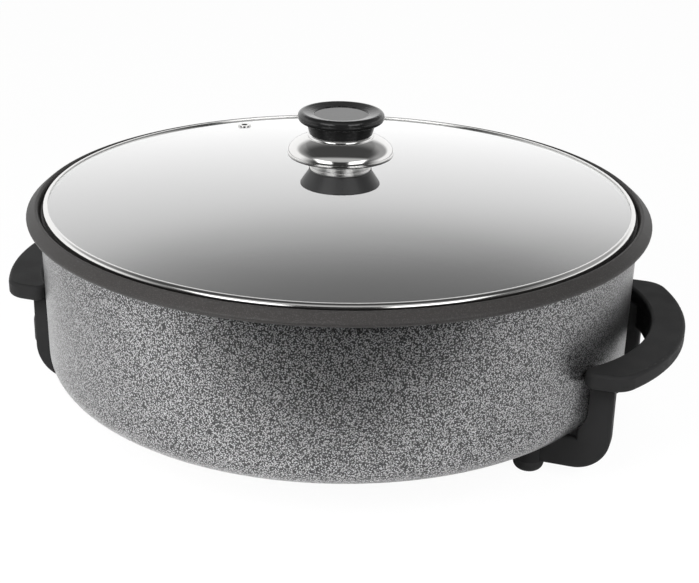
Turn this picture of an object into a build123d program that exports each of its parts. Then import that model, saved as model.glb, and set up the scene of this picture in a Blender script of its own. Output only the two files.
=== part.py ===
from build123d import *
import math
import os

# Electric paella pan with a loose glass lid. Millimetres, +Z up. The origin is on the
# table under the centre of the pan, and +X runs through the two handles.
os.makedirs("parts", exist_ok=True)

# Pan: a cast bowl with a flared rim that carries the lid
ground_gap = 31.5  # table to the underside of the pan
wall_radius = 200.0  # outside of the wall, above the bottom corner
wall_flare = 1.3  # how much wider the wall is under the rim
wall = 4.0
floor_thickness = 5.0
corner_radius = 18.0  # outside corner between the wall and the underside
pan_depth = 119.0  # underside to the crest of the rim
rim_overhang = 9.3  # outer edge of the rim beyond the wall
rim_crest = 1.7  # crest of the rim beyond the wall
rim_drop = 6.6  # crest down to the outer edge
rim_depth = 9.2  # crest down to the underside of the rim
rim_hem = 1.5  # how far the underside stops short of the outer edge
seat_depth = 4.8  # crest down to the ledge that the lid rests on
seat_slope = 2.6  # crest in to the ledge
rim_radii = [1.0, 2.0, 1.6, 0.6]  # roundings from the underside over the crest to the ledge

# Heating element: a sheathed tube in a ridge cast under the floor
element_radius = 4.0
element_inset = 75.0  # wall in to the centre line of the loop
element_bend = 20.0  # bend between the loop and each lead
element_fit = 0.1  # gap round the tube in its groove
lead_offset = 16.0  # each lead from the middle plane
inlet_drop = 5.5  # element, pins and probe below the underside
ridge_width = 20.0
ridge_height = 7.5

# Inlet on the left side: pins, ceramic insulators, probe sleeve and guard
guard_gap = 3.0  # wall to the back plate of the guard
guard_plate = 3.0
guard_length = 22.0
guard_width = 68.0
guard_height = 25.0
guard_wall = 2.5
guard_corner = 6.0
guard_drop = 11.5  # pins down to the bottom of the guard
pin_radius = 3.0
pin_shank = 2.4  # pin inside its insulator
pin_shoulder = 1.0  # insulator to the full width of the pin
pin_reach = 17.0  # pin beyond the back plate
pin_chamfer = 1.0
insulator_radius = 5.0
insulator_collar = 6.5
insulator_collar_length = 4.0
insulator_nose = 3.0  # insulator beyond the back plate
inlet_fit = 0.1  # radial gap of insulators and sleeve in their holes
sleeve_radius = 5.0
sleeve_bore = 3.5
sleeve_mouth = 3.7
sleeve_mouth_length = 13.0
sleeve_reach = 14.0  # sleeve beyond the back plate
sensor_pad_inset = 17.0  # start of the pad under the floor, inside the loop
sensor_pad_length = 40.0
sensor_pad_width = 18.0
sensor_pad_depth = 12.5
sensor_pad_end = 8.0  # metal past the end of the sleeve
tab_width = 10.0
tab_thickness = 3.0
tab_screw_inset = 30.0  # tab screw from the wall
tab_overlap = 8.0  # tab past its screw
tab_gap = 1.5  # insulator to the tab

# Screws
screw_radius = 2.0
screw_hole = 2.3
screw_head = 4.2
screw_head_height = 2.5
screw_depth = 3.0  # screw into the floor of the pan
boss_radius = 8.0
boss_height = 3.0
tab_boss_radius = 6.0
tab_boss_height = 2.0
thread_fit = 0.05

# Handles: C-shaped grip with two legs that turn in under the pan
handle_gap = 0.6  # handle to the pan
grip_reach = 36.7  # outer edge of the grip beyond the wall
grip_width = 22.5
grip_sweep = 26.2  # outer edge back to the corner of each horn
grip_span = 84.2  # middle of the pan to the end of each horn
horn_width = 9.5  # stretch of each horn that follows the wall
grip_corner = 17.0
grip_nose = 6.5
grip_lift = 52.7  # underside of the pan to the top of the grip
grip_thickness = 11.0
grip_edge = 2.5
lip_thickness = 3.5  # lip turned down along the finger side of the grip
lip_drop = 13.0  # underside of the grip down to the edge of the lip
leg_face = 67.0  # middle of the pan to the front of each leg
leg_thickness = 12.0
leg_reach = 4.6  # outer edge of the leg beyond the wall
leg_inset = 17.0  # inner edge of the leg inside the wall
leg_corner = 23.2
leg_edge = 2.0
arm_drop = 2.0  # top of the arm below the underside of the pan
web_thickness = 5.0  # web between the arm and the leg, set back from their faces
web_reach = 28.0  # web along the arm and up the leg
foot_inset = 47.1  # foot centre inside the wall, along X

# Feet and the screws inside them
foot_radius = 10.0
foot_height = 8.2
foot_round = 5.5
foot_stem = 5.7
counterbore = 6.0
handle_web = 3.5  # thickness under the screw head
washer_thickness = 1.0
foot_fit = 0.25

# Lid
lid_clearance = 1.2  # lid band to the slope of the rim
glass_thickness = 3.2
glass_rise = 7.0
band_sheet = 1.0
band_grip = 3.5  # how far the band covers the glass
glass_fit = 0.1
vent_inset = 23.2  # edge of the lid in to the vent
vent_angle = 134.0
vent_hole = 3.0
vent_flange = 5.2
vent_lip = 0.8

# Knob, from the glass upwards
gasket_radius = 22.0
gasket_thickness = 0.8
base_radius = 27.0
base_top_radius = 21.2
base_height = 10.0
base_skirt = 0.8  # upright edge at the bottom of the base
base_neck = 1.0  # upright edge at its top
base_rounds = [0.5, 3.0]  # roundings of its edge and under its top
base_gap = 0.15  # skirt to the glass
collar_radius = 20.7
collar_height = 7.6
collar_tier = 2.1  # height of each of the two lower tiers
collar_groove = 0.5
collar_groove_depth = 0.6
collar_round = 0.5
collar_step = 14.0
guard_disc_radius = 35.8
guard_disc_hub = 20.2
guard_disc_rise = 9.0  # hub of the finger guard above its edge
guard_disc_sheet = 1.4
guard_disc_lip = 3.3
guard_disc_round = 2.6
guard_disc_lift = 5.8  # collar to the edge of the finger guard
neck_ring_low = 19.4
neck_ring_top = 20.6
neck_ring_height = 2.4
grip_neck_low = 21.3
grip_neck_top = 23.5
grip_neck_height = 7.9
grip_cap_radius = 29.0
grip_cap_height = 7.0
grip_cap_round = 3.1
grip_crest = 25.5  # radius of the highest line of the cap
grip_crest_round = 0.8
grip_dish = 1.6  # crest down to the edge of the insert
insert_radius = 18.4
insert_thickness = 2.0
insert_recess = 4.4
insert_fit = 0.15
knob_screw_radius = 3.0
knob_hole = 3.25
glass_hole = 4.5
knob_screw_depth = 7.0  # screw into the grip
knob_washer_radius = 11.0
knob_washer_thickness = 1.5
knob_head_radius = 6.0
knob_head_height = 3.6

# Heights and radii that follow from the sizes above
underside = ground_gap
floor_top = underside + floor_thickness
rim_z = underside + pan_depth
rim_under = rim_z - rim_depth
seat_z = rim_z - seat_depth
wall_top = wall_radius + wall_flare
rim_radius = wall_top + rim_overhang
seat_radius = wall_top + rim_crest - seat_slope
lid_radius = seat_radius - lid_clearance
vent_radius = lid_radius - vent_inset
element_ring = wall_radius - element_inset
sensor_pad_start = element_ring - sensor_pad_inset
inner_top = wall_top - wall
inner_radius = wall_radius - wall
inner_corner = max(corner_radius - wall, wall)
inlet_z = underside - inlet_drop
guard_back = wall_radius + guard_gap
guard_face = guard_back + guard_plate
sides = (-1, 1)


def save(piece, name):
    """Label a finished piece and write it to its own file."""
    piece.part.label = name
    export_step(piece.part, f"parts/{name}.step")


# Route of the heating element: lead, bend, loop, bend, lead
bend_y = lead_offset + element_bend
bend_x = math.sqrt((element_ring + element_bend) ** 2 - bend_y**2)
bend_turn = math.degrees(math.atan2(bend_y, bend_x))
lead_end = guard_back - insulator_collar_length
with BuildLine(Plane.XY.offset(inlet_z)) as element_route:
    Line((-lead_end, -lead_offset), (-bend_x, -lead_offset))
    CenterArc((-bend_x, -bend_y), element_bend, 90, bend_turn - 90)
    CenterArc((0, 0), element_ring, 180 + bend_turn, 360 - 2 * bend_turn)
    CenterArc((-bend_x, bend_y), element_bend, -bend_turn, bend_turn - 90)
    Line((-bend_x, lead_offset), (-lead_end, lead_offset))
lead_plane = Plane.YZ.offset(-lead_end)

# Places of the screws that go up into the underside
foot_x = wall_radius - foot_inset
leg_mid = leg_face - leg_thickness / 2
foot_places = [(sx * foot_x, sy * leg_mid) for sx in sides for sy in sides]
tab_x = wall_radius - tab_screw_inset
tab_y = lead_offset + insulator_collar + tab_gap + tab_width / 2
tab_places = [(-tab_x, sy * tab_y) for sy in sides]
boss_z = underside - boss_height
tab_boss_z = underside - tab_boss_height

with BuildPart() as pan:
    with BuildSketch(Plane.XZ):
        with BuildLine():
            base = Line((0, underside), (wall_radius - corner_radius, underside))
            corner = TangentArc(base @ 1, (wall_radius, underside + corner_radius), tangent=base % 1)
            side = Line(corner @ 1, (wall_top, rim_under))
            rim = FilletPolyline(
                side @ 1,
                (rim_radius - rim_hem, rim_under + rim_hem / 3),
                (rim_radius, rim_z - rim_drop),
                (wall_top + rim_crest, rim_z),
                (seat_radius, seat_z),
                (inner_top, seat_z),
                radius=rim_radii,
            )
            inside = Line(rim @ 1, (inner_radius, floor_top + inner_corner))
            hollow = TangentArc(inside @ 1, (inner_radius - inner_corner, floor_top), tangent=(0, -1))
            Line(hollow @ 1, (0, floor_top))
            Line((0, floor_top), (0, underside))
        make_face()
    revolve(axis=Axis.Z)
    with BuildSketch(Plane.XY.offset(underside)):
        Circle(element_ring + ridge_width / 2)
        Circle(element_ring - ridge_width / 2, mode=Mode.SUBTRACT)
    extrude(amount=-ridge_height)
    with BuildSketch(Plane.XY.offset(underside)):
        with Locations((-sensor_pad_start - sensor_pad_length / 2, 0)):
            Rectangle(sensor_pad_length, sensor_pad_width)
    extrude(amount=-sensor_pad_depth)
    with BuildSketch(Plane.XY.offset(underside)):
        with Locations(*foot_places):
            Circle(boss_radius)
    extrude(amount=-boss_height)
    with BuildSketch(Plane.XY.offset(underside)):
        with Locations(*tab_places):
            Circle(tab_boss_radius)
    extrude(amount=-tab_boss_height)
    with BuildSketch(Plane.XY.offset(boss_z)):
        with Locations(*foot_places):
            Circle(screw_radius + thread_fit)
    extrude(amount=boss_height + screw_depth + thread_fit, mode=Mode.SUBTRACT)
    with BuildSketch(Plane.XY.offset(tab_boss_z)):
        with Locations(*tab_places):
            Circle(screw_radius + thread_fit)
    extrude(amount=tab_boss_height + screw_depth + thread_fit, mode=Mode.SUBTRACT)
    with BuildSketch(lead_plane):
        with Locations((-lead_offset, inlet_z)):
            Circle(element_radius + element_fit)
    sweep(path=element_route.wires()[0], mode=Mode.SUBTRACT)
    with BuildSketch(Plane.YZ.offset(-sensor_pad_start - sensor_pad_end)):
        with Locations((0, inlet_z)):
            Circle(sleeve_radius + inlet_fit)
    extrude(amount=-sensor_pad_length, mode=Mode.SUBTRACT)
save(pan, "pan")

with BuildPart() as heating_element:
    with BuildSketch(lead_plane):
        with Locations((-lead_offset, inlet_z)):
            Circle(element_radius)
    sweep(path=element_route.wires()[0])
save(heating_element, "heating_element")

pin_start = guard_face + insulator_nose + pin_shoulder
with BuildPart() as terminal_pins:
    with BuildSketch(lead_plane):
        with Locations(*[(sy * lead_offset, inlet_z) for sy in sides]):
            Circle(pin_shank)
    extrude(amount=lead_end - pin_start)
    with BuildSketch(Plane.YZ.offset(-pin_start)):
        with Locations(*[(sy * lead_offset, inlet_z) for sy in sides]):
            Circle(pin_radius)
    extrude(amount=pin_start - guard_face - pin_reach)
    chamfer(terminal_pins.faces().sort_by(Axis.X)[:2].edges(), pin_chamfer)
save(terminal_pins, "terminal_pins")

with BuildPart() as terminal_insulators:
    with BuildSketch(lead_plane):
        with Locations(*[(sy * lead_offset, inlet_z) for sy in sides]):
            Circle(insulator_collar)
    extrude(amount=-insulator_collar_length)
    with BuildSketch(lead_plane):
        with Locations(*[(sy * lead_offset, inlet_z) for sy in sides]):
            Circle(insulator_radius)
    extrude(amount=lead_end - guard_face - insulator_nose)
    with BuildSketch(lead_plane):
        with Locations(*[(sy * lead_offset, inlet_z) for sy in sides]):
            Circle(pin_shank + thread_fit)
    extrude(amount=lead_end - guard_face - insulator_nose, mode=Mode.SUBTRACT)
save(terminal_insulators, "terminal_insulators")

sleeve_start = sensor_pad_start + sensor_pad_end
sleeve_end = guard_face + sleeve_reach
with BuildPart() as probe_sleeve:
    with BuildSketch(Plane.YZ.offset(-sleeve_start)):
        with Locations((0, inlet_z)):
            Circle(sleeve_radius)
    extrude(amount=sleeve_start - sleeve_end)
    with BuildSketch(Plane.YZ.offset(-sleeve_start - sleeve_radius)):
        with Locations((0, inlet_z)):
            Circle(sleeve_bore)
    extrude(amount=sleeve_start - sleeve_end, mode=Mode.SUBTRACT)
    with BuildSketch(Plane.YZ.offset(-sleeve_end)):
        with Locations((0, inlet_z)):
            Circle(sleeve_mouth)
    extrude(amount=sleeve_mouth_length, mode=Mode.SUBTRACT)
save(probe_sleeve, "probe_sleeve")

guard_mid = inlet_z - guard_drop + guard_height / 2
tab_length = guard_face - tab_x + tab_overlap
with BuildPart() as inlet_guard:
    with BuildSketch(Plane.YZ.offset(-guard_back)):
        with Locations((0, guard_mid)):
            RectangleRounded(guard_width, guard_height, guard_corner)
    extrude(amount=-guard_length)
    with BuildSketch(Plane.YZ.offset(-guard_face)):
        with Locations((0, guard_mid)):
            RectangleRounded(
                guard_width - 2 * guard_wall, guard_height - 2 * guard_wall, guard_corner - guard_wall
            )
    extrude(amount=-guard_length, mode=Mode.SUBTRACT)
    with BuildSketch(Plane.XY.offset(tab_boss_z)):
        with Locations(*[(tab_length / 2 - guard_face, sy * tab_y) for sy in sides]):
            Rectangle(tab_length, tab_width)
    extrude(amount=-tab_thickness)
    with BuildSketch(Plane.XY.offset(tab_boss_z)):
        with Locations(*tab_places):
            Circle(screw_hole)
    extrude(amount=-tab_thickness, mode=Mode.SUBTRACT)
    with BuildSketch(Plane.YZ.offset(-guard_back)):
        with Locations(*[(sy * lead_offset, inlet_z) for sy in sides]):
            Circle(insulator_radius + inlet_fit)
        with Locations((0, inlet_z)):
            Circle(sleeve_radius + inlet_fit)
    extrude(amount=-guard_plate, mode=Mode.SUBTRACT)
save(inlet_guard, "inlet_guard")

tab_screw_z = tab_boss_z - tab_thickness
with BuildPart() as inlet_guard_screws:
    with BuildSketch(Plane.XY.offset(tab_screw_z)):
        with Locations(*tab_places):
            Circle(screw_head)
    extrude(amount=-screw_head_height)
    with BuildSketch(Plane.XY.offset(tab_screw_z)):
        with Locations(*tab_places):
            Circle(screw_radius)
    extrude(amount=tab_thickness + tab_boss_height + screw_depth)
    fillet(inlet_guard_screws.faces().sort_by(Axis.Z)[:2].edges(), screw_head_height / 3)
save(inlet_guard_screws, "inlet_guard_screws")

# Right handle; the left one is its mirror image
washer_z = boss_z - washer_thickness
head_seat = washer_z - handle_web
grip_outer_x = wall_top + grip_reach
grip_inner_x = grip_outer_x - grip_width
grip_bottom = underside + grip_lift - grip_thickness
horn_radius = wall_top + handle_gap
horn_x = math.sqrt(horn_radius**2 - grip_span**2)
horn_corner_x = grip_outer_x - grip_sweep
nose_y = grip_span - horn_width
nose_x = math.sqrt(horn_radius**2 - nose_y**2)
finger_sag = grip_inner_x - nose_x
finger_radius = (finger_sag**2 + nose_y**2) / (2 * finger_sag)
horn_mid_y = (grip_span + nose_y) / 2
horn_mid_x = math.sqrt(horn_radius**2 - horn_mid_y**2)
leg_outer = wall_radius + leg_reach
leg_inner = wall_radius - leg_inset
arm_top = underside - arm_drop
arm_bottom = foot_height
right_feet = [(foot_x, sy * leg_mid) for sy in sides]
shell_z = underside - handle_gap

# One leg: down from the horn, round the corner and in under the pan to its foot
with BuildPart() as leg:
    with BuildSketch(Plane.XZ.offset(leg_mid)):
        with BuildLine():
            top = Line((foot_x, arm_top), (leg_inner, arm_top))
            inner = Line(top @ 1, (leg_inner, grip_bottom + grip_edge))
            cap = Line(inner @ 1, (leg_outer, grip_bottom + grip_edge))
            outer = Line(cap @ 1, (leg_outer, arm_bottom + leg_corner))
            turn = TangentArc(outer @ 1, (leg_outer - leg_corner, arm_bottom), tangent=(0, -1))
            under = Line(turn @ 1, (foot_x, arm_bottom))
            Line(under @ 1, top @ 0)
        make_face()
    extrude(amount=leg_thickness / 2, both=True)
    fillet(leg.faces().filter_by(Axis.Y).edges(), leg_edge)
    with BuildSketch(Plane.XZ.offset(leg_mid)):
        with Locations((leg_inner + leg_edge, arm_top - leg_edge)):
            Rectangle(web_reach, web_reach, align=(Align.MAX, Align.MIN))
    extrude(amount=web_thickness / 2, both=True)

with BuildPart() as handle_right:
    with BuildSketch(Plane.XY.offset(grip_bottom)):
        with BuildLine():
            outside = ThreePointArc(
                (horn_corner_x, -grip_span), (grip_outer_x, 0), (horn_corner_x, grip_span)
            )
            rear_end = Line(outside @ 1, (horn_x, grip_span))
            rear_horn = ThreePointArc(rear_end @ 1, (horn_mid_x, horn_mid_y), (nose_x, nose_y))
            finger_side = ThreePointArc(rear_horn @ 1, (grip_inner_x, 0), (nose_x, -nose_y))
            front_horn = ThreePointArc(
                finger_side @ 1, (horn_mid_x, -horn_mid_y), (horn_x, -grip_span)
            )
            Line(front_horn @ 1, outside @ 0)
        make_face()
        fillet(vertices().group_by(Axis.X)[-1], grip_corner)
        fillet(vertices().group_by(Axis.X)[0], grip_nose)
    extrude(amount=grip_thickness)
    fillet(faces().filter_by(Axis.Z).edges(), grip_edge)
    with BuildSketch(Plane.XY.offset(grip_bottom + grip_edge)):
        with Locations((grip_inner_x - finger_radius, 0)):
            Circle(finger_radius + lip_thickness)
            Circle(finger_radius, mode=Mode.SUBTRACT)
        with Locations((grip_inner_x, 0)):
            Rectangle(2 * grip_width, 2 * leg_mid, mode=Mode.INTERSECT)
    extrude(amount=-lip_drop - grip_edge)
    add(leg.part)
    mirror(leg.part, about=Plane.XZ)
    with BuildSketch(Plane.XY.offset(washer_z)):
        with Locations(*right_feet):
            Circle(foot_radius)
    extrude(amount=arm_bottom - washer_z)
    with BuildSketch(Plane.XY.offset(washer_z)):
        with Locations(*right_feet):
            Circle(boss_radius + foot_fit)
    extrude(amount=underside - washer_z, mode=Mode.SUBTRACT)
    with BuildSketch(Plane.XY.offset(washer_z)):
        with Locations(*right_feet):
            Circle(screw_hole)
    extrude(amount=-handle_web, mode=Mode.SUBTRACT)
    with BuildSketch(Plane.XY.offset(head_seat)):
        with Locations(*right_feet):
            Circle(counterbore)
    extrude(amount=-head_seat, mode=Mode.SUBTRACT)
    with BuildSketch(Plane.XZ):
        with BuildLine():
            shell_base = Line((0, shell_z), (wall_radius - corner_radius, shell_z))
            shell_corner = TangentArc(
                shell_base @ 1, (wall_radius + handle_gap, underside + corner_radius), tangent=(1, 0)
            )
            shell_side = Line(shell_corner @ 1, (wall_top + handle_gap, rim_under))
            Polyline(shell_side @ 1, (0, rim_under), shell_base @ 0)
        make_face()
    revolve(axis=Axis.Z, mode=Mode.SUBTRACT)
save(handle_right, "handle_right")

with BuildPart() as handle_left:
    mirror(handle_right.part, about=Plane.YZ)
save(handle_left, "handle_left")

for side_name, sx in (("left", -1), ("right", 1)):
    places = [(sx * foot_x, sy * leg_mid) for sy in sides]
    with BuildPart() as handle_screws:
        with BuildSketch(Plane.XY.offset(head_seat)):
            with Locations(*places):
                Circle(screw_head)
        extrude(amount=-screw_head_height)
        with BuildSketch(Plane.XY.offset(head_seat)):
            with Locations(*places):
                Circle(screw_radius)
        extrude(amount=handle_web + washer_thickness + boss_height + screw_depth)
        fillet(handle_screws.faces().sort_by(Axis.Z)[:2].edges(), screw_head_height / 3)
    save(handle_screws, f"handle_screws_{side_name}")

    with BuildPart() as heat_washers:
        with BuildSketch(Plane.XY.offset(washer_z)):
            with Locations(*places):
                Circle(boss_radius)
                Circle(screw_hole, mode=Mode.SUBTRACT)
        extrude(amount=washer_thickness)
    save(heat_washers, f"heat_washers_{side_name}")

    for end_name, place in zip(("front", "rear"), places):
        with BuildPart() as foot:
            with BuildSketch(Plane.XY):
                with Locations(place):
                    Circle(foot_radius)
            extrude(amount=foot_height)
            fillet(foot.faces().sort_by(Axis.Z)[0].edges(), foot_round)
            with BuildSketch(Plane.XY.offset(foot_height)):
                with Locations(place):
                    Circle(foot_stem)
            extrude(amount=head_seat - screw_head_height - foot_fit - foot_height)
        save(foot, f"foot_{end_name}_{side_name}")

# Lid: the band holds the edge of the glass and rests on the ledge of the rim
glass_edge_z = seat_z + band_sheet + glass_fit
glass_edge_top = glass_edge_z + glass_thickness
glass_radius = lid_radius - band_sheet - glass_fit
band_inner = lid_radius - band_grip
band_top = glass_edge_top + glass_fit + band_sheet
bead_z = (seat_z + band_top) / 2
bead_radius = lid_radius - (band_top - seat_z) / 2
glass_top = glass_edge_top + glass_rise
glass_under = glass_top - glass_thickness
vent_place = (
    vent_radius * math.cos(math.radians(vent_angle)),
    vent_radius * math.sin(math.radians(vent_angle)),
)
dome_radius = (band_inner**2 + glass_rise**2) / (2 * glass_rise)


def glass_height(radius):
    """Height of the top of the glass at a distance from the middle of the lid."""
    return glass_top - dome_radius + math.sqrt(dome_radius**2 - radius**2)


with BuildPart() as lid_glass:
    with BuildSketch(Plane.XZ):
        with BuildLine():
            crown = ThreePointArc(
                (0, glass_top),
                (band_inner / 2, glass_height(band_inner / 2)),
                (band_inner, glass_edge_top),
            )
            land = Line(crown @ 1, (bead_radius, glass_edge_top))
            edge = ThreePointArc(land @ 1, (glass_radius, bead_z), (bead_radius, glass_edge_z))
            under_land = Line(edge @ 1, (band_inner, glass_edge_z))
            dish = ThreePointArc(
                under_land @ 1,
                (band_inner / 2, glass_height(band_inner / 2) - glass_thickness),
                (0, glass_under),
            )
            Line(dish @ 1, crown @ 0)
        make_face()
    revolve(axis=Axis.Z)
    with BuildSketch(Plane.XY.offset(seat_z)):
        Circle(glass_hole)
        with Locations(vent_place):
            Circle(vent_hole + glass_fit)
    extrude(amount=glass_top, mode=Mode.SUBTRACT)
save(lid_glass, "lid_glass")

with BuildPart() as lid_band:
    with BuildSketch(Plane.XZ):
        with BuildLine():
            bottom = Line((band_inner, seat_z), (bead_radius, seat_z))
            bead = ThreePointArc(bottom @ 1, (lid_radius, bead_z), (bead_radius, band_top))
            top_lip = Polyline(
                bead @ 1,
                (band_inner, band_top),
                (band_inner, band_top - band_sheet),
                (bead_radius, band_top - band_sheet),
            )
            channel = ThreePointArc(
                top_lip @ 1,
                (lid_radius - band_sheet, bead_z),
                (bead_radius, seat_z + band_sheet),
            )
            Polyline(channel @ 1, (band_inner, seat_z + band_sheet), bottom @ 0)
        make_face()
    revolve(axis=Axis.Z)
save(lid_band, "lid_band")

vent_z = glass_height(vent_radius)
vent_slope = glass_height(vent_radius - vent_flange) - vent_z
with BuildPart() as vent_grommet:
    with BuildSketch(Plane.XY.offset(vent_z + vent_slope)):
        with Locations(vent_place):
            Circle(vent_flange)
    extrude(amount=vent_lip)
    fillet(vent_grommet.faces().sort_by(Axis.Z)[-1].edges(), vent_lip / 2)
    with BuildSketch(Plane.XY.offset(vent_z + vent_slope)):
        with Locations(vent_place):
            Circle(vent_hole)
    extrude(amount=-glass_thickness)
    with BuildSketch(Plane.XY.offset(seat_z)):
        with Locations(vent_place):
            Circle(vent_hole - vent_lip)
    extrude(amount=glass_top, mode=Mode.SUBTRACT)
save(vent_grommet, "vent_grommet")

# Knob: a screw from below holds the whole stack to the glass
gasket_top = glass_top + gasket_thickness
washer_top = glass_height(knob_washer_radius) - glass_thickness - gasket_thickness
with BuildPart() as knob_gaskets:
    with BuildSketch(Plane.XY.offset(glass_top)):
        Circle(gasket_radius)
        Circle(knob_hole, mode=Mode.SUBTRACT)
    extrude(amount=gasket_thickness)
    with BuildSketch(Plane.XY.offset(washer_top)):
        Circle(knob_washer_radius)
        Circle(knob_hole, mode=Mode.SUBTRACT)
    extrude(amount=gasket_thickness)
save(knob_gaskets, "knob_gaskets")

base_z = gasket_top + base_height
skirt_z = glass_top + base_gap
with BuildPart() as knob_base:
    with BuildSketch(Plane.XZ):
        with BuildLine():
            flare = FilletPolyline(
                (base_radius, skirt_z),
                (base_radius, skirt_z + base_skirt),
                (base_top_radius, base_z - base_neck),
                (base_top_radius, base_z),
                radius=base_rounds,
            )
            Polyline(
                flare @ 1,
                (knob_hole, base_z),
                (knob_hole, gasket_top),
                (gasket_radius + base_gap, gasket_top),
                (gasket_radius + base_gap, skirt_z),
                flare @ 0,
            )
        make_face()
    revolve(axis=Axis.Z)
save(knob_base, "knob_base")

collar_z = base_z + collar_height
tier_z = base_z + collar_tier
second_tier_z = tier_z + collar_groove + collar_tier
disc_edge_z = collar_z + guard_disc_lift
disc_hub_z = disc_edge_z + guard_disc_rise
with BuildPart() as knob_collar:
    with BuildSketch(Plane.XZ):
        with BuildLine():
            Polyline(
                (knob_hole, base_z),
                (collar_radius, base_z),
                (collar_radius, tier_z),
                (collar_radius - collar_groove_depth, tier_z),
                (collar_radius - collar_groove_depth, tier_z + collar_groove),
                (collar_radius, tier_z + collar_groove),
                (collar_radius, second_tier_z),
                (collar_radius - collar_groove_depth, second_tier_z),
                (collar_radius - collar_groove_depth, second_tier_z + collar_groove),
                (collar_radius, second_tier_z + collar_groove),
                (collar_radius, collar_z),
                (collar_step, collar_z),
                (collar_step, disc_hub_z - guard_disc_sheet),
                (knob_hole, disc_hub_z - guard_disc_sheet),
                close=True,
            )
        make_face()
    revolve(axis=Axis.Z)
    tier_edges = knob_collar.edges().filter_by(GeomType.CIRCLE).group_by(SortBy.RADIUS)[-1]
    fillet(tier_edges, collar_round)
save(knob_collar, "knob_collar")

with BuildPart() as knob_finger_guard:
    with BuildSketch(Plane.XZ):
        with BuildLine():
            Polyline(
                (knob_hole, disc_hub_z),
                (guard_disc_hub, disc_hub_z),
                (guard_disc_radius, disc_edge_z),
                (guard_disc_radius, disc_edge_z - guard_disc_lip),
                (guard_disc_radius - guard_disc_sheet, disc_edge_z - guard_disc_lip),
                (guard_disc_radius - guard_disc_sheet, disc_edge_z - guard_disc_sheet),
                (guard_disc_hub, disc_hub_z - guard_disc_sheet),
                (knob_hole, disc_hub_z - guard_disc_sheet),
                close=True,
            )
        make_face()
    revolve(axis=Axis.Z)
    disc_edge = knob_finger_guard.edges().filter_by(GeomType.CIRCLE).group_by(SortBy.RADIUS)[-1]
    fillet(disc_edge.sort_by(Axis.Z)[-1], guard_disc_round)
save(knob_finger_guard, "knob_finger_guard")

ring_z = disc_hub_z + neck_ring_height
with BuildPart() as knob_neck_ring:
    with BuildSketch(Plane.XZ):
        with BuildLine():
            Polyline(
                (knob_hole, disc_hub_z),
                (neck_ring_low, disc_hub_z),
                (neck_ring_top, ring_z),
                (knob_hole, ring_z),
                close=True,
            )
        make_face()
    revolve(axis=Axis.Z)
save(knob_neck_ring, "knob_neck_ring")

neck_z = ring_z + grip_neck_height
cap_z = neck_z + grip_cap_height
recess_z = cap_z - insert_recess
with BuildPart() as knob_grip:
    with BuildSketch(Plane.XZ):
        with BuildLine():
            neck = Polyline((0, ring_z), (grip_neck_low, ring_z), (grip_neck_top, neck_z))
            Polyline(
                neck @ 1,
                (grip_cap_radius, neck_z),
                (grip_cap_radius, cap_z),
                (grip_crest, cap_z),
                (insert_radius + insert_fit, cap_z - grip_dish),
                (insert_radius + insert_fit, recess_z),
                (0, recess_z),
                (0, ring_z),
            )
        make_face()
    revolve(axis=Axis.Z)
    cap_edges = knob_grip.edges().filter_by(GeomType.CIRCLE).sort_by(SortBy.RADIUS)
    fillet(cap_edges[-2:], grip_cap_round)
    crest_edge = knob_grip.edges().filter_by(GeomType.CIRCLE).filter_by_position(Axis.Z, cap_z, cap_z)
    fillet(crest_edge.sort_by(SortBy.RADIUS)[0], grip_crest_round)
    with BuildSketch(Plane.XY.offset(ring_z)):
        Circle(knob_screw_radius + thread_fit)
    extrude(amount=knob_screw_depth + thread_fit, mode=Mode.SUBTRACT)
save(knob_grip, "knob_grip")

with BuildPart() as knob_insert:
    with BuildSketch(Plane.XY.offset(recess_z)):
        Circle(insert_radius)
    extrude(amount=insert_thickness)
    fillet(knob_insert.faces().sort_by(Axis.Z)[-1].edges(), insert_thickness / 3)
save(knob_insert, "knob_insert")

with BuildPart() as knob_washer:
    with BuildSketch(Plane.XY.offset(washer_top)):
        Circle(knob_washer_radius)
        Circle(knob_hole, mode=Mode.SUBTRACT)
    extrude(amount=-knob_washer_thickness)
save(knob_washer, "knob_washer")

knob_head_z = washer_top - knob_washer_thickness
with BuildPart() as knob_screw:
    with BuildSketch(Plane.XY.offset(knob_head_z)):
        Circle(knob_head_radius)
    extrude(amount=-knob_head_height)
    fillet(knob_screw.faces().sort_by(Axis.Z)[0].edges(), knob_head_height / 2)
    with BuildSketch(Plane.XY.offset(knob_head_z)):
        Circle(knob_screw_radius)
    extrude(amount=ring_z + knob_screw_depth - knob_head_z)
save(knob_screw, "knob_screw")
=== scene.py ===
import math

import bpy
import numpy as np
from mathutils import Matrix, Vector


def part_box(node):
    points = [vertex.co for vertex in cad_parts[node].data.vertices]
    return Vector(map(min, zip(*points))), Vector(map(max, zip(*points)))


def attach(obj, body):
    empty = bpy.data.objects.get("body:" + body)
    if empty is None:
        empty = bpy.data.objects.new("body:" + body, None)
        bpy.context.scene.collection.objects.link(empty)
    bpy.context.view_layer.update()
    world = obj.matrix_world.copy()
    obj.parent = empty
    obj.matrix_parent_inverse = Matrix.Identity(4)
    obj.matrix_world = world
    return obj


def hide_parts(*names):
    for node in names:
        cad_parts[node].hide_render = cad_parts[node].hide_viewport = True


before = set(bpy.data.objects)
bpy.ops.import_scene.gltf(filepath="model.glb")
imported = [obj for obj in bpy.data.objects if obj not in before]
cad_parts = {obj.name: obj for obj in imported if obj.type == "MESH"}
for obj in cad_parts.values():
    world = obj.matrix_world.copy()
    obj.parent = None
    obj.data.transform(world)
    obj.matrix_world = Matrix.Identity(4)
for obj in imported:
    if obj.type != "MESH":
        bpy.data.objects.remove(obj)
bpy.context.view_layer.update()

# Pan: one aluminium casting. Its wall is sprayed with grey hammer-finish paint, its inside and rim with
# dark non-stick coating, and its underside is left as cast.
PAN_DEPTH = 0.119
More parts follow.
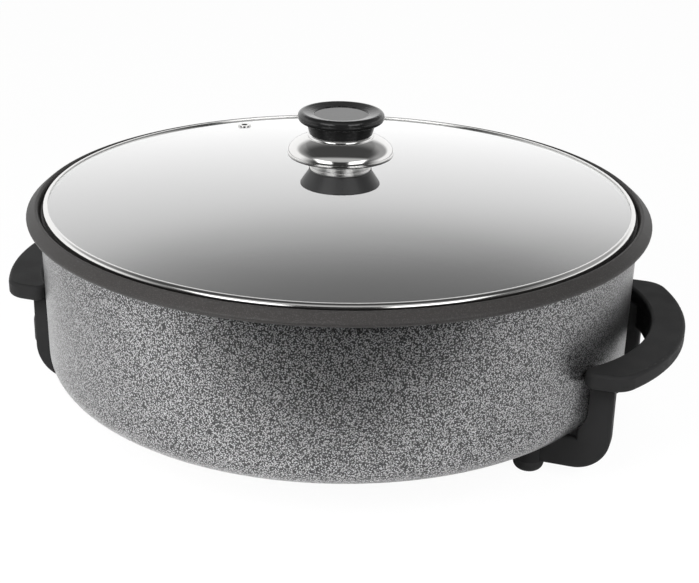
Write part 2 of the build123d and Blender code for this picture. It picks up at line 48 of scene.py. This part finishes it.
RIM_DEPTH = 0.0092
CORNER_RADIUS = 0.018
CORNER_START = 0.182  # radius where the flat underside turns up into the wall
WALL_MIDDLE = 0.0162  # from the middle of the corner's curve to halfway through the wall
PAINT_EDGE = 0.0002  # half the width over which paint gives way to coating
RIM_PAINT_EDGE = 0.0003
PAN_SHINE = 0.2
HAMMER_SPACING = 0.00095
HAMMER_WARP = 0.001
HAMMER_SWIRL = 0.6  # swirls of the warp beside the beads, by count
HAMMER_CREST = 0.15  # shares of the spacing at which a bead is all crest and all valley
HAMMER_VALLEY = 0.65
HAMMER_DEPTH = 0.00004
PAINT_VALLEY = (0.042, 0.042, 0.043, 1)
PAINT_CREST = (0.4, 0.4, 0.405, 1)
PAINT_CREST_DULL = (0.36, 0.36, 0.364, 1)
PAINT_CLOUDS = 0.03
PAINT_METAL = 0.85
PAINT_ROUGH = 0.28
COATING = (0.018, 0.017, 0.0165, 1)
COATING_FLECK = (0.034, 0.0325, 0.032, 1)
FLECK_SPACING = 0.0007
FLECK_EDGE = (0.52, 0.66)
COATING_ROUGH = 0.46
PEEL_SPACING = 0.0012
PEEL_DEPTH = 0.00003
BARE_REACH = (0.176, 0.181)  # radii between which the bare base gives way to paint
BARE_RISE = (0.002, 0.003)  # heights over the underside between which it gives way to coating
CAST_DARK = (0.3, 0.295, 0.29, 1)
CAST_PALE = (0.42, 0.415, 0.41, 1)
CAST_GRAIN = 0.004
rim_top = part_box("pan")[1].z
underside = rim_top - PAN_DEPTH


class Finish:
    """A node material under construction: its nodes, its links and its one Principled shader."""

    def __init__(self, name, **constants):
        self.material = bpy.data.materials.new(name)
        self.material.use_nodes = True
        self.nodes = self.material.node_tree.nodes
        self.links = self.material.node_tree.links
        self.shader = self.nodes["Principled BSDF"]
        for key, value in constants.items():
            self.shader.inputs[key.replace("_", " ")].default_value = value

    def connect(self, socket, value):
        """Link a value that varies over the surface into the shader."""
        self.links.new(value, self.shader.inputs[socket])

    def show(self, shader):
        """Make a shader node the one that the surface shows."""
        self.links.new(shader.outputs[0], self.nodes["Material Output"].inputs["Surface"])

    def add(self, kind, settings=(), **inputs):
        """Add a node, set its properties, and feed each named input from a socket or a constant."""
        node = self.nodes.new(kind)
        for key, value in settings:
            setattr(node, key, value)
        for key, value in inputs.items():
            self.feed(node.inputs[key.replace("_", " ")], value)
        return node

    def feed(self, socket, value):
        """Link a socket to another socket, or give it a constant."""
        if isinstance(value, bpy.types.NodeSocket):
            self.links.new(value, socket)
        else:
            socket.default_value = value

    def place(self, stretch=(1, 1, 1)):
        """Where a point of the piece is, in metres, with each axis times its stretch."""
        place = self.add("ShaderNodeTexCoord").outputs["Object"]
        if stretch == (1, 1, 1):
            return place
        return self.add("ShaderNodeMapping", Vector=place, Scale=stretch).outputs["Vector"]

    def axes(self):
        """The distance from the upright axis and the height of a point, in metres."""
        flat = self.add("ShaderNodeVectorMath", [("operation", "LENGTH")])
        self.links.new(self.place((1, 1, 0)), flat.inputs[0])
        split = self.add("ShaderNodeSeparateXYZ", Vector=self.place())
        return flat.outputs["Value"], split.outputs["Z"]

    def noise(self, spacing, detail=2.0, distortion=0.0):
        """Soft noise whose blobs are about spacing metres apart, from 0 to 1."""
        node = self.add("ShaderNodeTexNoise", Vector=self.place())
        node.inputs["Scale"].default_value = 1 / spacing
        node.inputs["Detail"].default_value = detail
        node.inputs["Distortion"].default_value = distortion
        return node.outputs["Fac"]

    def worms(self, spacing, warp, swirls, crest, valley):
        """Beads evenly about spacing metres apart, drawn out into worms by a shift of up to warp metres."""
        swirl = self.add("ShaderNodeTexNoise", Vector=self.place())
        swirl.inputs["Scale"].default_value = swirls / spacing
        swirl.inputs["Detail"].default_value = 0.0
        shift = self.add("ShaderNodeVectorMath", [("operation", "MULTIPLY_ADD")])
        self.feed(shift.inputs[0], swirl.outputs["Color"])
        self.feed(shift.inputs[1], (warp, warp, warp))
        self.feed(shift.inputs[2], self.place())
        beads = self.add("ShaderNodeTexVoronoi", Vector=shift.outputs["Vector"])
        beads.inputs["Scale"].default_value = 1 / spacing
        return self.ramp(beads.outputs["Distance"], crest, valley, 1.0, 0.0)

    def rings(self, value, spacing, detail=3.0):
        """Noise along one measure only, such as the fine lines that a lathe leaves at each radius."""
        node = self.add("ShaderNodeTexNoise", [("noise_dimensions", "1D")], W=value)
        node.inputs["Scale"].default_value = 1 / spacing
        node.inputs["Detail"].default_value = detail
        return node.outputs["Fac"]

    def ramp(self, value, low, high, start=0.0, end=1.0):
        """Map a value from low..high to start..end with a smooth step."""
        node = self.add("ShaderNodeMapRange", [("interpolation_type", "SMOOTHSTEP")])
        self.feed(node.inputs["Value"], value)
        for socket, number in (("From Min", low), ("From Max", high), ("To Min", start), ("To Max", end)):
            self.feed(node.inputs[socket], number)
        return node.outputs["Result"]

    def vary(self, noise, start, end):
        """Map the span in which most of a noise lies, 0.3 to 0.7, to start..end."""
        return self.ramp(noise, 0.3, 0.7, start, end)

    def step(self, operation, first, second=0.0):
        """One arithmetic step on two values."""
        node = self.add("ShaderNodeMath", [("operation", operation)])
        self.feed(node.inputs[0], first)
        self.feed(node.inputs[1], second)
        return node.outputs[0]

    def mix(self, share, first, second):
        """Blend two colours by a share from 0 to 1."""
        node = self.add("ShaderNodeMix", [("data_type", "RGBA")])
        self.feed(node.inputs["Factor"], share)
        self.feed(node.inputs[6], first)
        self.feed(node.inputs[7], second)
        return node.outputs[2]

    def blend(self, share, first, second):
        """Show the first shader node, and by a share from 0 to 1 the second."""
        node = self.add("ShaderNodeMixShader", Fac=share)
        self.links.new(first.outputs[0], node.inputs[1])
        self.links.new(second.outputs[0], node.inputs[2])
        return node

    def bump(self, height, depth, below=None):
        """Raise the surface by height times depth metres, on top of an earlier bump if there is one."""
        node = self.add("ShaderNodeBump", Height=height, Distance=depth)
        if below is not None:
            self.links.new(below, node.inputs["Normal"])
        self.connect("Normal", node.outputs["Normal"])
        return node.outputs["Normal"]


def dress(finish, *names):
    """Give CAD nodes a finish by their material slots."""
    for name in names:
        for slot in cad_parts[name].material_slots:
            slot.material = finish.material


pan_finish = Finish("hammered_cast", Specular_IOR_Level=PAN_SHINE)
pan_radius, pan_height = pan_finish.axes()
past_corner = pan_finish.step("SUBTRACT", pan_radius, CORNER_START)
over = pan_finish.step("MAXIMUM", past_corner, 0.0)
above_corner = pan_finish.step("SUBTRACT", pan_height, underside + CORNER_RADIUS)
under = pan_finish.step("MINIMUM", above_corner, 0.0)
over_squared = pan_finish.step("MULTIPLY", over, over)
under_squared = pan_finish.step("MULTIPLY", under, under)
from_corner = pan_finish.step("SQRT", pan_finish.step("ADD", over_squared, under_squared))
outside = pan_finish.ramp(from_corner, WALL_MIDDLE - PAINT_EDGE, WALL_MIDDLE + PAINT_EDGE)
rim_under = rim_top - RIM_DEPTH
below_rim = pan_finish.ramp(pan_height, rim_under, rim_under + RIM_PAINT_EDGE, 1, 0)
painted = pan_finish.step("MULTIPLY", outside, below_rim)
crests = pan_finish.worms(HAMMER_SPACING, HAMMER_WARP, HAMMER_SWIRL, HAMMER_CREST, HAMMER_VALLEY)
clouds = pan_finish.noise(PAINT_CLOUDS)
crest_colour = pan_finish.mix(clouds, PAINT_CREST_DULL, PAINT_CREST)
paint = pan_finish.mix(crests, PAINT_VALLEY, crest_colour)
flecks = pan_finish.ramp(pan_finish.noise(FLECK_SPACING, 3.0), *FLECK_EDGE)
coating = pan_finish.mix(flecks, COATING, COATING_FLECK)
bare_low, bare_high = (underside + rise for rise in BARE_RISE)
bare_in_plan = pan_finish.ramp(pan_radius, *BARE_REACH, 1, 0)
bare_in_height = pan_finish.ramp(pan_height, bare_low, bare_high, 1, 0)
bare_base = pan_finish.step("MULTIPLY", bare_in_plan, bare_in_height)
cast = pan_finish.mix(pan_finish.noise(CAST_GRAIN, 4.0), CAST_DARK, CAST_PALE)
skin = pan_finish.mix(painted, coating, paint)
paint_metal = pan_finish.step("MULTIPLY", painted, PAINT_METAL)
pan_finish.connect("Base Color", pan_finish.mix(bare_base, skin, cast))
pan_finish.connect("Metallic", pan_finish.step("MAXIMUM", paint_metal, bare_base))
pan_finish.connect("Roughness", pan_finish.ramp(painted, 0, 1, COATING_ROUGH, PAINT_ROUGH))
orange_peel = pan_finish.bump(pan_finish.noise(PEEL_SPACING, 3.0), PEEL_DEPTH)
pan_finish.bump(pan_finish.step("MULTIPLY", crests, painted), HAMMER_DEPTH, orange_peel)
dress(pan_finish, "pan")

# Heating element: a nickel steel tube bent into one loop, in a groove of the ridge cast under the floor.
# Its sheath is drawn, and blued and browned by heat.
SHEATH_BROWN = (0.34, 0.28, 0.22, 1)
SHEATH_BLUE = (0.25, 0.26, 0.31, 1)
element_finish = Finish("element_sheath", Metallic=1.0)
tint = element_finish.ramp(element_finish.noise(0.03, 3.0), 0.35, 0.65)
element_finish.connect("Base Color", element_finish.mix(tint, SHEATH_BROWN, SHEATH_BLUE))
element_finish.connect("Roughness", element_finish.vary(element_finish.noise(0.002, 4.0), 0.3, 0.5))
element_finish.bump(element_finish.noise(0.0006), 0.00001)
dress(element_finish, "heating_element")

# Inlet: turned steel pins and probe sleeve in steatite insulators, inside a moulded phenolic guard that
# two screws hold to the base.
PIN_STEEL = (0.62, 0.61, 0.59, 1)
PIN_LINES = 0.0003
CERAMIC_DARK = (0.7, 0.67, 0.6, 1)
CERAMIC_PALE = (0.82, 0.8, 0.74, 1)
CERAMIC_GRIT = 0.0008
FLOW_SPACING = 0.02
FLOW_DARK = 0.85
FLOW_PALE = 1.2
FLOW_COOL = 1.02  # blue beside red and green where the flow is pale
FLOW_ROUGH = 0.05
GRAIN_DEPTH = 0.06  # share of the spacing of the grain
PLATING_DARK = (0.5, 0.5, 0.52, 1)
PLATING_PALE = (0.64, 0.64, 0.61, 1)
PLATING_GRAIN = 0.0009
pin_finish = Finish("terminal_steel", Base_Color=PIN_STEEL, Metallic=1.0)
along = pin_finish.add("ShaderNodeSeparateXYZ", Vector=pin_finish.place()).outputs["X"]
lathe_lines = pin_finish.rings(along, PIN_LINES)
pin_finish.connect("Roughness", pin_finish.vary(lathe_lines, 0.16, 0.34))
pin_finish.bump(lathe_lines, 0.000004)
dress(pin_finish, "terminal_pins", "probe_sleeve")

ceramic_finish = Finish("ceramic", Roughness=0.6)
grit = ceramic_finish.noise(CERAMIC_GRIT, 4.0)
ceramic_finish.connect("Base Color", ceramic_finish.mix(grit, CERAMIC_DARK, CERAMIC_PALE))
ceramic_finish.bump(grit, 0.00003)
dress(ceramic_finish, "terminal_insulators")


def moulded_black(name, shade, roughness, grain, shine=0.5):
    """Black moulded plastic: slight flow marks in its shade, and a fine even grain from the mould."""
    finish = Finish(name, Specular_IOR_Level=shine)
    flow = finish.noise(FLOW_SPACING, 3.0)
    dark, pale = shade * FLOW_DARK, shade * FLOW_PALE
    finish.connect("Base Color", finish.mix(flow, (dark, dark, dark, 1), (pale, pale, pale * FLOW_COOL, 1)))
    finish.connect("Roughness", finish.vary(flow, roughness - FLOW_ROUGH, roughness + FLOW_ROUGH))
    finish.bump(finish.noise(grain), grain * GRAIN_DEPTH)
    return finish


dress(moulded_black("guard_phenolic", shade=0.016, roughness=0.45, grain=0.0006), "inlet_guard")

screw_finish = Finish("screw_steel", Metallic=1.0)
plating = screw_finish.noise(PLATING_GRAIN, 3.0)
screw_finish.connect("Base Color", screw_finish.mix(plating, PLATING_DARK, PLATING_PALE))
screw_finish.connect("Roughness", screw_finish.vary(plating, 0.22, 0.36))
dress(screw_finish, "inlet_guard_screws", "handle_screws_left", "handle_screws_right")
dress(screw_finish, "knob_screw", "knob_washer")

# Handles: two satin black phenolic mouldings, each a C grip with two legs that turn in under the pan.
# Screws go up through fibre washers into bosses under the pan, and rubber feet plug their holes.
FIBRE_DARK = (0.22, 0.14, 0.08, 1)
FIBRE_PALE = (0.42, 0.3, 0.19, 1)
handle_finish = moulded_black("handle_phenolic", shade=0.014, roughness=0.5, grain=0.0005, shine=0.05)
dress(handle_finish, "handle_left", "handle_right")
foot_finish = moulded_black("foot_rubber", shade=0.014, roughness=0.62, grain=0.0004, shine=0.2)
dress(foot_finish, "foot_front_left", "foot_front_right", "foot_rear_left", "foot_rear_right")
fibre_finish = Finish("fibre", Roughness=0.8)
strands = fibre_finish.noise(0.0015, 4.0, distortion=2.0)
fibre_finish.connect("Base Color", fibre_finish.mix(strands, FIBRE_DARK, FIBRE_PALE))
fibre_finish.bump(strands, 0.00005)
dress(fibre_finish, "heat_washers_left", "heat_washers_right")

# Lid: a pressed disc of clear tempered glass in a rolled ring of polished stainless steel, with a steel
# eyelet in its steam hole. The ring is bent round the edge of the glass and rests on the ledge of the rim.
SHEEN = 1.9  # mirror of the two faces, beside that of bare glass
GLASS_CLEAR = (0.93, 0.955, 0.945, 1)
GLASS_MIRROR = (1, 1, 1, 1)
GLASS_ROUGH = 0.13
GLASS_BEND = 1.5  # index of refraction
GLASS_WAVES = 0.06
GLASS_WAVE_DEPTH = 0.00003
POLISHED = (0.78, 0.775, 0.765, 1)
POLISH_LINES = 0.0004
glass_finish = Finish("lid_glass", Base_Color=GLASS_MIRROR, Roughness=GLASS_ROUGH, Metallic=1.0)
glass_finish.bump(glass_finish.noise(GLASS_WAVES, 1.0), GLASS_WAVE_DEPTH)
clear = glass_finish.add("ShaderNodeBsdfTransparent", Color=GLASS_CLEAR)
face = glass_finish.add("ShaderNodeFresnel", IOR=GLASS_BEND).outputs["Fac"]
twice = glass_finish.step("MULTIPLY", face, 2.0)
both_faces = glass_finish.step("DIVIDE", twice, glass_finish.step("ADD", face, 1.0))
far_side = glass_finish.add("ShaderNodeNewGeometry").outputs["Backfacing"]
near_sheen = glass_finish.step("MULTIPLY", glass_finish.step("SUBTRACT", 1.0, far_side), SHEEN)
mirrored_share = glass_finish.step("MULTIPLY", both_faces, near_sheen)
glass_finish.show(glass_finish.blend(mirrored_share, clear, glass_finish.shader))
dress(glass_finish, "lid_glass")

steel_finish = Finish("polished_steel", Base_Color=POLISHED, Metallic=1.0)
steel_radius, steel_height = steel_finish.axes()
polish = steel_finish.rings(steel_finish.step("ADD", steel_radius, steel_height), POLISH_LINES)
steel_finish.connect("Roughness", steel_finish.vary(polish, 0.07, 0.14))
dress(steel_finish, "lid_band", "vent_grommet")

# Knob: from the glass up, silicone gaskets, a satin base, a steel collar, a finger guard, a steel neck
# ring, and a gloss black grip with a satin disc let into its top. One screw from below holds the stack.
SATIN = (0.76, 0.755, 0.745, 1)
SATIN_LINES = 0.0003
INSERT_DARK = (0.12, 0.12, 0.12, 1)
INSERT_PALE = (0.17, 0.17, 0.17, 1)
INSERT_LINES = 0.00035
dress(moulded_black("silicone", shade=0.03, roughness=0.7, grain=0.0005), "knob_gaskets")
base_finish = moulded_black("knob_base_plastic", shade=0.014, roughness=0.36, grain=0.0005, shine=0.3)
dress(base_finish, "knob_base")
grip_finish = moulded_black("knob_gloss", shade=0.006, roughness=0.12, grain=0.002, shine=0.45)
dress(grip_finish, "knob_grip")
satin_finish = Finish("satin_steel", Base_Color=SATIN, Metallic=1.0)
satin_height = satin_finish.axes()[1]
satin_lines = satin_finish.rings(satin_height, SATIN_LINES)
satin_finish.connect("Roughness", satin_finish.vary(satin_lines, 0.26, 0.36))
satin_finish.bump(satin_lines, 0.000003)
dress(satin_finish, "knob_collar", "knob_neck_ring")
insert_finish = Finish("knob_insert", Metallic=0.6)
insert_radius = insert_finish.axes()[0]
turned_lines = insert_finish.rings(insert_radius, INSERT_LINES, 2.0)
insert_finish.connect("Base Color", insert_finish.mix(turned_lines, INSERT_DARK, INSERT_PALE))
insert_finish.connect("Roughness", insert_finish.vary(turned_lines, 0.3, 0.42))
dress(insert_finish, "knob_insert")

# Finger guard of the knob: one polished stainless pressing, held between the collar and the neck ring.
# It is a pressed dome, with a bead round its hub and an edge that turns down smoothly into a short wall.
GUARD_SHEET = 0.0014
GUARD_HOLE = 0.00325
GUARD_HUB = 0.0202
GUARD_BEAD = 0.00095  # half the width of the bead round the hub
GUARD_BEAD_RISE = 0.0018
GUARD_BEAD_STEPS = 17
GUARD_BEAD_INSET = 0.0002  # hub to bead
GUARD_DOME_GAP = 0.0001  # bead to dome
GUARD_SHOULDER = (0.0285, 0.0017)  # radius, and drop from the hub, that the dome first heads for
GUARD_TURN = 0.0052  # drop at which the dome's curve aims into the wall
GUARD_WALL = 0.0104  # drop of the top of the wall
GUARD_UNDER_SHOULDER = (0.0268, 0.0016)
GUARD_UNDER_TURN = 0.0051
GUARD_UNDER_WALL = 0.0094
GUARD_LIP_IN = 0.0003
GUARD_LIP_UP = 0.0004
GUARD_SIDES = 160
GUARD_CREASE = 40  # degrees past which an edge is sharp
guard_low, guard_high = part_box("knob_finger_guard")


def bend(start, first, second, end, steps=40):
    """Points on the cubic curve that leaves start towards first and reaches end from second.

    With s from 0 to 1 they weigh (1 - s) cubed, 3 s (1 - s) squared, 3 s squared (1 - s) and s cubed.
    """
    share = np.linspace(0, 1, steps)[:, None]
    left = 1 - share
    weights = (left**3, 3 * share * left**2, 3 * share**2 * left, share**3)
    return sum(weight * np.array(point) for weight, point in zip(weights, (start, first, second, end)))


def turned(name, profile, sides):
    """Closed ring of (radius, height) points swept round the upright axis in equal angles.

    Its x and y are the radius times the cosine and the sine of the angle, and its z is the height.
    """
    angle = np.arange(sides) * math.tau / sides
    radius, height = np.array(profile).T
    x = radius[:, None] * np.cos(angle)
    y = radius[:, None] * np.sin(angle)
    z = height[:, None] + 0 * angle
    points = np.stack((x, y, z), axis=2).reshape(-1, 3)
    row = np.arange(len(radius))[:, None] * sides
    column = np.arange(sides)[None, :]
    row_after = np.roll(row, -1, axis=0)
    column_after = np.roll(column, -1, axis=1)
    corners = (row + column, row_after + column, row_after + column_after, row + column_after)
    mesh = bpy.data.meshes.new(name)
    mesh.from_pydata(points.tolist(), [], np.stack(corners, axis=2).reshape(-1, 4).tolist())
    mesh.shade_smooth()
    mesh.set_sharp_from_angle(angle=math.radians(GUARD_CREASE))
    piece = bpy.data.objects.new(name, mesh)
    bpy.context.scene.collection.objects.link(piece)
    return piece


edge = guard_high.x
inner = edge - GUARD_SHEET
hub_top, lip_end = guard_high.z, guard_low.z
hub_under = hub_top - GUARD_SHEET
bead_turn = np.linspace(0, math.pi, GUARD_BEAD_STEPS)
bead_middle = GUARD_HUB + GUARD_BEAD_INSET + GUARD_BEAD
bead_radius = bead_middle - GUARD_BEAD * np.cos(bead_turn)
bead_height = hub_top + GUARD_BEAD_RISE * np.sin(bead_turn)
bead = np.stack((bead_radius, bead_height), axis=1)
dome_start = bead_middle + GUARD_BEAD + GUARD_DOME_GAP
dome = bend(
    (dome_start, hub_top),
    (GUARD_SHOULDER[0], hub_top - GUARD_SHOULDER[1]),
    (edge, hub_top - GUARD_TURN),
    (edge, hub_top - GUARD_WALL),
)
lip = [
    (edge, lip_end + GUARD_LIP_UP),
    (edge - GUARD_LIP_IN, lip_end),
    (inner + GUARD_LIP_IN, lip_end),
    (inner, lip_end + GUARD_LIP_UP),
]
dome_under = bend(
    (inner, hub_under - GUARD_UNDER_WALL),
    (inner, hub_under - GUARD_UNDER_TURN),
    (GUARD_UNDER_SHOULDER[0], hub_under - GUARD_UNDER_SHOULDER[1]),
    (GUARD_HUB, hub_under),
)
guard_ring = [(GUARD_HOLE, hub_top), *bead, *dome, *lip, *dome_under, (GUARD_HOLE, hub_under)]
guard = turned("finger_guard_dome", guard_ring, GUARD_SIDES)
guard.data.materials.append(steel_finish.material)
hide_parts("knob_finger_guard")
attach(guard, "lid")

# Studio: a white table whose front edge is short of the camera, lit by a soft box on each side of the
# camera and one behind the pan. Polished pieces mirror a sweep and soft panels that are drawn on the
# world, and not the lamps.
AZIMUTH = math.radians(18.45)
ELEVATION = math.radians(21.74)
ROLL = math.radians(1.08)
AIM_RISE = 0.0586
DISTANCE = 0.978
FOCAL_PIXELS = 1400
FRAME_WIDTH = 699
SHIFT_X = 11.3 / FRAME_WIDTH
SHIFT_Y = -15.8 / FRAME_WIDTH
SENSOR = 36
TABLE_FRONT = 0.335
TABLE_BACK = 3.0
TABLE_SIDE = 2.5
TABLE_WHITE = (0.93, 0.93, 0.93, 1)
TABLE_ROUGH = 0.3
TABLE_GLOW = 0.95  # share of plain white where the camera sees the table, the rest is its shading

aim = Vector((0, 0, underside + AIM_RISE))
right = Vector((math.cos(AZIMUTH), math.sin(AZIMUTH), 0))
towards = Vector((math.sin(AZIMUTH), -math.cos(AZIMUTH), 0))
back = towards * math.cos(ELEVATION) + Vector((0, 0, math.sin(ELEVATION)))
up = back.cross(right)
camera_right = right * math.cos(ROLL) + up * math.sin(ROLL)
camera_up = up * math.cos(ROLL) - right * math.sin(ROLL)
lens = bpy.data.cameras.new("camera")
lens.sensor_fit = "HORIZONTAL"
lens.sensor_width = SENSOR
lens.lens = FOCAL_PIXELS / FRAME_WIDTH * SENSOR
lens.shift_x = SHIFT_X
lens.shift_y = SHIFT_Y
camera = bpy.data.objects.new("camera", lens)
turn = Matrix((camera_right, camera_up, back)).transposed().to_4x4()
camera.matrix_world = Matrix.Translation(aim + back * DISTANCE) @ turn
bpy.context.scene.collection.objects.link(camera)
bpy.context.scene.camera = camera

floor_mesh = bpy.data.meshes.new("floor")
floor_corners = [
    towards * depth + right * side
    for depth, side in (
        (TABLE_FRONT, -TABLE_SIDE),
        (TABLE_FRONT, TABLE_SIDE),
        (-TABLE_BACK, TABLE_SIDE),
        (-TABLE_BACK, -TABLE_SIDE),
    )
]
floor_mesh.from_pydata(floor_corners, [], [(0, 1, 2, 3)])
floor = bpy.data.objects.new("floor", floor_mesh)
bpy.context.scene.collection.objects.link(floor)
floor_finish = Finish("white_table", Base_Color=TABLE_WHITE, Roughness=TABLE_ROUGH)
glow = floor_finish.add("ShaderNodeEmission", Color=(1, 1, 1, 1), Strength=1.0)
camera_ray = floor_finish.add("ShaderNodeLightPath").outputs["Is Camera Ray"]
glow_share = floor_finish.step("MULTIPLY", camera_ray, TABLE_GLOW)
table_top = floor_finish.blend(glow_share, floor_finish.shader, glow)
from_below = floor_finish.add("ShaderNodeNewGeometry").outputs["Backfacing"]
nothing = floor_finish.add("ShaderNodeBsdfTransparent")
floor_finish.show(floor_finish.blend(from_below, table_top, nothing))
floor.data.materials.append(floor_finish.material)

# The photo's glass shows no image of the knob, so the knob is kept out of mirrored rays.
for piece in [guard, *(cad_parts[name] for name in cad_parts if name.startswith("knob_"))]:
    piece.visible_glossy = False

# Each edge below is a span of a direction's slope along an axis, and the level at its two ends.
SWEEP_BOW = 1.8  # how fast the top of the sweep's bright part falls to the sides
SWEEP_LEAN = 0.12
SWEEP_EDGE = (0.35, 0.385, 0.1, 0.0)
SWEEP_FADE = (0.34, 0.52, 0.98, 0.24)
SWEEP_ENDS = (-0.2, 0.6, 1.0, 0.0)
SWEEP_TOP = (0.55, 0.8, 1.0, 0.1)
REFLECTOR_FRONT = (0.05, 0.35, 0.0, 0.5)
REFLECTOR_FOOT = (0.55, 0.75, 0.0, 1.0)
PANEL_INNER = (0.24, 0.36, 0.0, 1.0)
PANEL_OUTER = (0.66, 0.8, 1.0, 0.0)
PANEL_FOOT = (0.12, 0.26, 0.0, 1.0)
PANEL_HEAD = (0.6, 0.72, 1.0, 0.0)
PANEL_FRONT = (0.2, 0.4, 0.0, 2.4)
ROOM_LEVEL = 0.04  # mirrored from every side
SEEN_LEVEL = 0.98
PLAIN_LEVEL = 0.36

world = bpy.data.worlds.new("studio")
bpy.context.scene.world = world
world.use_nodes = True
tree = world.node_tree
background = tree.nodes["Background"]
background.inputs["Color"].default_value = (1, 1, 1, 1)


def world_node(kind, settings=(), *inputs):
    """Add a node to the world and feed its inputs in order from sockets or constants."""
    node = tree.nodes.new(kind)
    for key, value in settings:
        setattr(node, key, value)
    for socket, value in zip(node.inputs, inputs):
        if isinstance(value, bpy.types.NodeSocket):
            tree.links.new(value, socket)
        else:
            socket.default_value = value
    return node.outputs


def world_ramp(value, low, high, start, end):
    """Map a value smoothly from low..high to start..end."""
    smooth = [("interpolation_type", "SMOOTHSTEP")]
    return world_node("ShaderNodeMapRange", smooth, value, low, high, start, end)["Result"]


def world_math(operation, first, second=0.0):
    """One arithmetic step on two values."""
    return world_node("ShaderNodeMath", [("operation", operation)], first, second)[0]


def world_product(first, *others):
    """Several values multiplied together."""
    for other in others:
        first = world_math("MULTIPLY", first, other)
    return first


heading = world_node("ShaderNodeTexCoord")["Generated"]


def world_along(axis):
    """How far the heading points along an axis, from -1 to 1."""
    return world_node("ShaderNodeVectorMath", [("operation", "DOT_PRODUCT")], heading, axis)["Value"]


slope = world_along((0, 0, 1))
aside = world_along(right)
ahead = world_along(towards)
spread = world_math("ABSOLUTE", aside)
bow = world_math("SUBTRACT", slope, world_product(SWEEP_BOW, world_product(aside, aside)))
lean = world_math("ADD", slope, world_product(SWEEP_LEAN, aside))
sweep_level = world_math("ADD", world_ramp(bow, *SWEEP_EDGE), world_ramp(lean, *SWEEP_FADE))
sweep_place = world_product(world_ramp(ahead, *SWEEP_ENDS), world_ramp(slope, *SWEEP_TOP))
sweep = world_product(sweep_level, sweep_place)
reflector = world_product(world_ramp(ahead, *REFLECTOR_FRONT), world_ramp(slope, *REFLECTOR_FOOT))
panels = world_product(
    world_ramp(spread, *PANEL_INNER),
    world_ramp(spread, *PANEL_OUTER),
    world_ramp(slope, *PANEL_FOOT),
    world_ramp(slope, *PANEL_HEAD),
    world_ramp(ahead, *PANEL_FRONT),
)
mirrored = world_math("ADD", sweep, world_math("ADD", reflector, panels))
mirrored = world_math("ADD", mirrored, ROOM_LEVEL)
rays = world_node("ShaderNodeLightPath")
seen = world_math("MAXIMUM", rays["Is Camera Ray"], rays["Is Transmission Ray"])
plain = world_math("SUBTRACT", 1.0, world_math("MAXIMUM", seen, rays["Is Glossy Ray"]))
glossy_level = world_product(rays["Is Glossy Ray"], mirrored)
seen_level = world_product(seen, SEEN_LEVEL)
plain_level = world_product(plain, PLAIN_LEVEL)
level = world_math("ADD", world_math("ADD", glossy_level, seen_level), plain_level)
tree.links.new(level, background.inputs["Strength"])


def soft_box(name, azimuth, elevation, distance, width, height, power):
    """A rectangular lamp aimed at the pan, at an azimuth from the camera and an elevation in degrees."""
    lamp = bpy.data.lights.new(name, "AREA")
    lamp.shape = "RECTANGLE"
    lamp.size = width
    lamp.size_y = height
    lamp.energy = power
    around = AZIMUTH + math.radians(azimuth)
    tilt = math.radians(elevation)
    flat = Vector((math.sin(around), -math.cos(around), 0)) * math.cos(tilt)
    direction = flat + Vector((0, 0, math.sin(tilt)))
    holder = bpy.data.objects.new(name, lamp)
    holder.location = aim + direction * distance
    holder.rotation_euler = direction.to_track_quat("Z", "Y").to_euler()
    holder.visible_glossy = False
    bpy.context.scene.collection.objects.link(holder)


soft_box("left_box", azimuth=-36, elevation=30, distance=0.75, width=0.6, height=0.4, power=10)
soft_box("right_box", azimuth=44, elevation=30, distance=0.85, width=0.5, height=0.45, power=5.5)
soft_box("back_box", azimuth=180, elevation=50, distance=1.6, width=1.4, height=0.8, power=5)

bpy.context.scene.view_settings.view_transform = "Standard"
